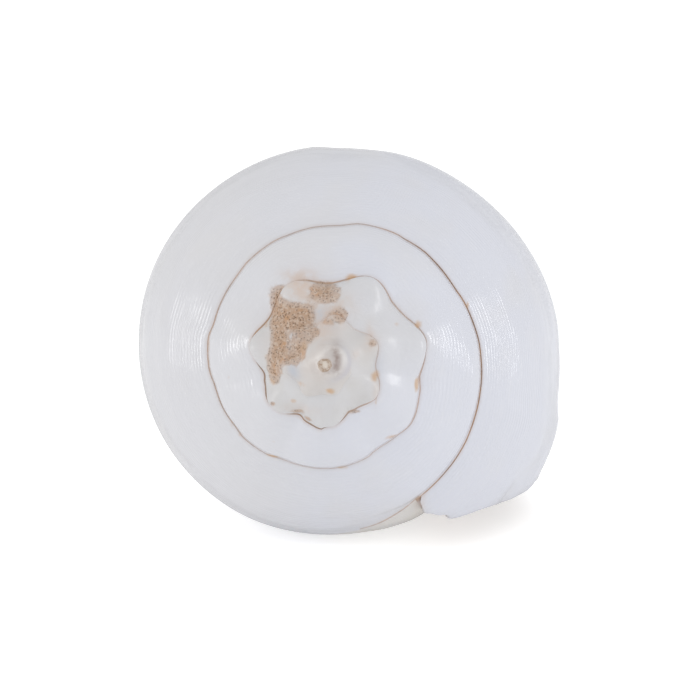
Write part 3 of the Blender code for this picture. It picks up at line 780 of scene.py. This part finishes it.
def shellMaterial():
    material = bpy.data.materials.new("shellGlaze")
    material.use_nodes = True
    tree = material.node_tree
    nodes, links = tree.nodes, tree.links
    shader = nodes["Principled BSDF"]
    place = nodes.new("ShaderNodeTexCoord").outputs["Object"]

    def attribute(name):
        node = nodes.new("ShaderNodeAttribute")
        node.attribute_name = name
        return node

    def noise(vector, scale, detail=2.0, roughness=0.5):
        node = nodes.new("ShaderNodeTexNoise")
        node.inputs["Scale"].default_value = scale
        node.inputs["Detail"].default_value = detail
        node.inputs["Roughness"].default_value = roughness
        links.new(vector, node.inputs["Vector"])
        return Field(tree, node.outputs[0])

    def mixed(mask, first, second):
        node = nodes.new("ShaderNodeMix")
        node.data_type = "RGBA"
        plug(tree, mask, node.inputs[0])
        plug(tree, first, node.inputs[6])
        plug(tree, second, node.inputs[7])
        return node.outputs[2]

    def fromMiddle(middle, radii):
        away = vectorMath(tree, "DIVIDE", vectorMath(tree, "SUBTRACT", place, middle), radii)
        node = nodes.new("ShaderNodeVectorMath")
        node.operation = "LENGTH"
        links.new(away, node.inputs[0])
        return Field(tree, node.outputs["Value"])

    def marked(rows):
        # soft blots that run together, half strength at their radii
        total = 0.0
        for middle, radii, strength in rows:
            away = fromMiddle(middle, radii)
            total = (away * away * -0.7).run("EXPONENT") * strength + total
        return total

    turn, share, size = split3(tree, attribute("growth").outputs["Vector"])
    inside = Field(tree, attribute("inside").outputs["Fac"])
    across, along, up = split3(tree, place)
    scale = size * profileLength
    below = share * scale  # metres below this whorl's seam
    above = (split - share) * scale + turn.run("GREATER_THAN", shell["Turns"] - 1.0)  # and above the next
    seamTurn = turn + above.run("LESS_THAN", below)
    fromSeam = below.run("ABSOLUTE").run("MINIMUM", above)
    ragged = noise(place, 420.0, 3.0, 0.6)
    fine = noise(place, 1500.0, 2.0)
    cloudy = smoothStep(0.35, 0.7, noise(place, 160.0, 3.0))

    # the white ground: neutral on the left, cooler on the right, and greyer on the spire
    broad = noise(place, 34.0, 1.0)
    coolness = smoothStep(-0.030, 0.012, across + (broad - 0.5) * 0.03)
    ground = mixed(coolness, colour("white"), colour("coolWhite"))
    warmth = smoothStep(0.45, 0.75, noise(place, 60.0, 2.0))
    ground = mixed(warmth * 0.35, ground, colour("warmWhite"))
    onSpire = 1.0 - smoothStep(4.45, 5.1, turn)
    ground = mixed(onSpire * (0.65 + 0.35 * cloudy), ground, colour("spireWhite"))
    ground = mixed((1.0 - smoothStep(3.3, 4.3, turn)) * 0.85, ground, colour("moundWhite"))
    streaks = noise(point(tree, turn * 50.0, below * 1100.0, 0.0), 1.0, 2.0)
    ground = mixed(smoothStep(0.45, 0.8, streaks) * smoothStep(4.0, 5.0, turn) * 0.22, ground, colour("rim"))

    # the mound's ring with a painted highlight along its crest, and painted grey shade inside and outside it on the
    # right
    middle = (shellBuild["restShift"][0] + 0.0017, shellBuild["restShift"][1], shellBuild["restShift"][2] + 0.0010)
    fromRing = fromMiddle(middle, (1.0, 1.0, 1.0))
    wobble = (ragged - 0.5) * 0.0010
    inPaintedShade = smoothStep(0.0006, 0.0022, fromRing) * (1.0 - smoothStep(0.0052, 0.0072, fromRing))
    rightSide = smoothStep(-0.003, 0.004, across - up * 0.35 + 0.35 * shellBuild["restShift"][2])
    ground = mixed(inPaintedShade * rightSide * 0.75, ground, colour("moundPaintedShade"))
    ringHighlight = ((fromRing + wobble - 0.0035) / 0.0008 * ((fromRing + wobble - 0.0035) / 0.0008) * -1.0).run("EXPONENT")
    ground = mixed(ringHighlight * (0.55 + 0.3 * cloudy), ground, colour("moundRing"))
    # painted bluish-grey shade on the inner whorl's knobs
    ground = mixed(marked(knobShades), ground, colour("oval"))

    # the brown line in the seam, which runs on below the mouth's end of it
    first, last = seamLine[0][0], seamLine[-1][0]
    places = [((at - first) / (last - first), value) for at, value in seamLine]
    callusLine = (turn - 6.0) * 0.85 + 0.1435
    onCallus = turn.run("GREATER_THAN", 5.995) * (1.0 - smoothStep(6.06, 6.12, turn)) * (1.0 - inside)
    nearLine = (share - callusLine).run("ABSOLUTE") * scale * 0.5 + (1.0 - onCallus)
    dark = curveThrough(places, (seamTurn - first) / (last - first))
    dark = dark + (1.0 - dark) * smoothStep(4.85, 5.0, seamTurn) * 0.22
    frayed = noise(place, 900.0, 2.0)
    width = (0.55 + 0.45 * dark + (frayed - 0.5) * 0.9) * glaze["lineWidth"]
    distance = fromSeam.run("MINIMUM", nearLine)
    dark = dark + (0.6 - dark) * nearLine.run("LESS_THAN", fromSeam)
    inLine = 1.0 - smoothStep(0.0, 1.0, (distance - width * 0.4) / width)
    halo = (1.0 - smoothStep(0.0, 0.0012, distance + (frayed - 0.5) * 0.0008)) * dark * 0.22
    tan = smoothStep(0.40, 0.62, noise(place, 110.0, 2.0))
    lineColour = mixed(tan * 0.5 + (1.0 - dark) * 0.45, colour("line"), colour("tanLine"))
    surface = mixed(halo, ground, colour("tanLine"))

    # the cream wedge beside that line
    beside = smoothStep(0.0, 0.010, share - callusLine) * onCallus
    surface = mixed(beside * (0.7 + 0.3 * cloudy), surface, colour("callus"))
    outside = 1.0 - smoothStep(0.0, 0.3, inside)
    surface = mixed(inLine * dark * outside * smoothStep(0.2, 0.45, frayed + 0.08), surface, lineColour)

    # flushes, then the pitted stain
    flushMask = marked(flushes).run("MINIMUM", 1.0) * (0.35 + 0.65 * smoothStep(0.3, 0.6, ragged))
    surface = mixed(flushMask, surface, colour("flush"))
    pits = nodes.new("ShaderNodeTexVoronoi")
    pits.inputs["Scale"].default_value = 1.0 / glaze["grainSize"]
    links.new(place, pits.inputs["Vector"])
    pit = Field(tree, pits.outputs["Distance"])
    reach = marked(stains) + (ragged - 0.5) * 0.7 + (noise(place, 190.0, 2.0) - 0.5) * 0.5
    stain = smoothStep(0.26, 0.56, reach)
    stainColour = mixed(smoothStep(0.5, 0.72, noise(place, 240.0, 2.0)), colour("stain"), colour("stainOrange"))
    stainColour = mixed(smoothStep(0.45, 0.7, fine) * 0.7, stainColour, colour("stainPale"))
    stainColour = mixed((1.0 - smoothStep(0.12, 0.36, pit)) * 0.9, stainColour, colour("stainDark"))
    surface = mixed(stain * (0.66 + 0.3 * smoothStep(0.6, 1.1, reach)), surface, stainColour)

    # tan spots, the painted shadow and brown dirt beside the nub, and the nub's worn ring
    spotMask = smoothStep(0.22, 0.85, marked(spots) + (ragged - 0.5) * 0.5 + (fine - 0.5) * 0.25)
    surface = mixed(spotMask * 0.75, surface, colour("spot"))
    surface = mixed(marked(shades).run("MINIMUM", 1.0) * (0.35 + 0.55 * smoothStep(0.3, 0.65, ragged)), surface, colour("shade"))
    tip = fromMiddle(shellBuild["restShift"], (0.00175,) * 3) + (ragged - 0.5) * 0.5
    nubMask = 1.0 - smoothStep(0.95, 1.25, tip)
    nubColour = mixed(smoothStep(0.45, 0.75, tip) * (0.45 + 0.55 * smoothStep(0.4, 0.6, fine)), colour("nubPale"), colour("nub"))
    surface = mixed(nubMask * 0.9, surface, nubColour)

    # the peach chamber
    surface = mixed(inside * (0.5 + 0.5 * cloudy), surface, colour("chamber"))
    links.new(surface, shader.inputs["Base Color"])

    # fine spiral threads, growth lines, grain and pits
    drift = noise(point(tree, turn * 9.0, below * 60.0, 0.0), 1.0, 1.0)
    thread = wave(below / glaze["threadSpacing"] + drift * 1.6)
    worn = smoothStep(0.35, 0.6, noise(point(tree, turn * 14.0, below * 160.0, 3.0), 1.0, 2.0))
    onWhorls = smoothStep(4.9, 5.5, turn) * smoothStep(0.0008, 0.003, fromSeam) * (1.0 - inside)
    threads = thread * onWhorls * (0.35 + 0.65 * worn) * (glaze["threadDepth"] * 0.5)
    growthLines = (streaks - 0.5) * 0.00002
    grain = (noise(place, 700.0, 2.0) - 0.5) * (0.00002 + 0.00003 * onSpire)
    pitted = stain * smoothStep(0.1, 0.5, pit) * 0.00014
    groove = inLine * dark * -0.00006
    bump = nodes.new("ShaderNodeBump")
    bump.inputs["Strength"].default_value = 1.0
    bump.inputs["Distance"].default_value = 1.0
    plug(tree, threads + growthLines + grain + pitted + groove, bump.inputs["Height"])
    links.new(bump.outputs[0], shader.inputs["Normal"])
    rough = glaze["roughness"] + 0.08 * noise(place, 240.0, 2.0) + stain * 0.4 + onSpire * 0.16
    plug(tree, rough, shader.inputs["Roughness"])
    return material


conch = buildShell(shellMaterial())
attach(conch, "root")
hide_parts("conch_shell")


# The floor, the sky round it and two tall lights at the sides
studio = {
    "floorSize": 6.0,
    "floorWhite": (0.86, 0.86, 0.86, 1.0),
    "floorGlow": 0.17,
    "floorSeen": 0.36,  # and this much more where the camera sees it
    "skyFront": 0.83,
    "skyBack": 0.69,
    "skyTop": 1.12,
    "lamps": [
        # place, height and width, strength in watts
        ((-0.96, -0.29, 0.22), (0.56, 0.09), 1.3),
        ((0.96, -0.29, 0.22), (0.56, 0.09), 1.3),
    ],
    "aim": (0.0, -0.03, 0.04),
}


def buildFloor():
    data = bpy.data.meshes.new("floor")
    half = studio["floorSize"] / 2.0
    corners = [(-half, -half, 0.0), (half, -half, 0.0), (half, half, 0.0), (-half, half, 0.0)]
    data.from_pydata(corners, [], [(0, 1, 2, 3)])
    material = bpy.data.materials.new("floorWhite")
    material.use_nodes = True
    shader = material.node_tree.nodes["Principled BSDF"]
    shader.inputs["Base Color"].default_value = studio["floorWhite"]
    shader.inputs["Roughness"].default_value = 0.9
    shader.inputs["Specular IOR Level"].default_value = 0.0
    shader.inputs["Emission Color"].default_value = (1.0, 1.0, 1.0, 1.0)
    tree = material.node_tree
    seen = Field(tree, tree.nodes.new("ShaderNodeLightPath").outputs["Is Camera Ray"])
    plug(tree, seen * studio["floorSeen"] + studio["floorGlow"], shader.inputs["Emission Strength"])
    data.materials.append(material)
    floor = bpy.data.objects.new("floor", data)
    scene.collection.objects.link(floor)
    return floor


buildFloor()


def buildWorld():
    # white where the camera looks, and a little darker behind the shell than in front of it
    world = bpy.data.worlds.new("studio")
    scene.world = world
    world.use_nodes = True
    tree = world.node_tree
    nodes, links = tree.nodes, tree.links
    across, along, up = split3(tree, nodes.new("ShaderNodeTexCoord").outputs["Generated"])
    light = studio["skyFront"] + (studio["skyBack"] - studio["skyFront"]) * smoothStep(-0.6, 0.9, along)
    light = light * (1.0 + (studio["skyTop"] - 1.0) * smoothStep(0.0, 0.8, up))
    seen = Field(tree, nodes.new("ShaderNodeLightPath").outputs["Is Camera Ray"])
    background = nodes["Background"]
    background.inputs["Color"].default_value = (1.0, 1.0, 1.0, 1.0)
    plug(tree, light + (1.0 - light) * seen, background.inputs["Strength"])


def buildLamps():
    for number, (place, (height, width), strength) in enumerate(studio["lamps"]):
        data = bpy.data.lights.new("sideLamp" + str(number), "AREA")
        data.shape = "RECTANGLE"
        data.size = width
        data.size_y = height
        data.energy = strength
        lamp = bpy.data.objects.new(data.name, data)
        lamp.location = place
        facing = Vector(studio["aim"]) - Vector(place)
        lamp.rotation_euler = facing.to_track_quat("-Z", "Y").to_euler()
        scene.collection.objects.link(lamp)


buildWorld()
buildLamps()

# Where the camera stood, and the way it faced
camera = {
    "place": (0.03168, -0.78781, 0.28410),
    "right": (0.99911, 0.04207, 0.00267),
    "up": (-0.01542, 0.30580, 0.95197),
    "forward": (-0.03924, 0.95117, -0.30618),
    "lens": 190.3,
    "sensor": 36.0,
}


def buildCamera():
    data = bpy.data.cameras.new("camera")
    data.lens = camera["lens"]
    data.sensor_width = camera["sensor"]
    data.clip_start = 0.05
    data.clip_end = 20.0
    eye = bpy.data.objects.new("camera", data)
    turn = Matrix((camera["right"], camera["up"], -Vector(camera["forward"]))).transposed()
    eye.matrix_world = Matrix.Translation(camera["place"]) @ turn.to_quaternion().to_matrix().to_4x4()
    scene.collection.objects.link(eye)
    scene.camera = eye


buildCamera()
scene.view_settings.view_transform = "Standard"
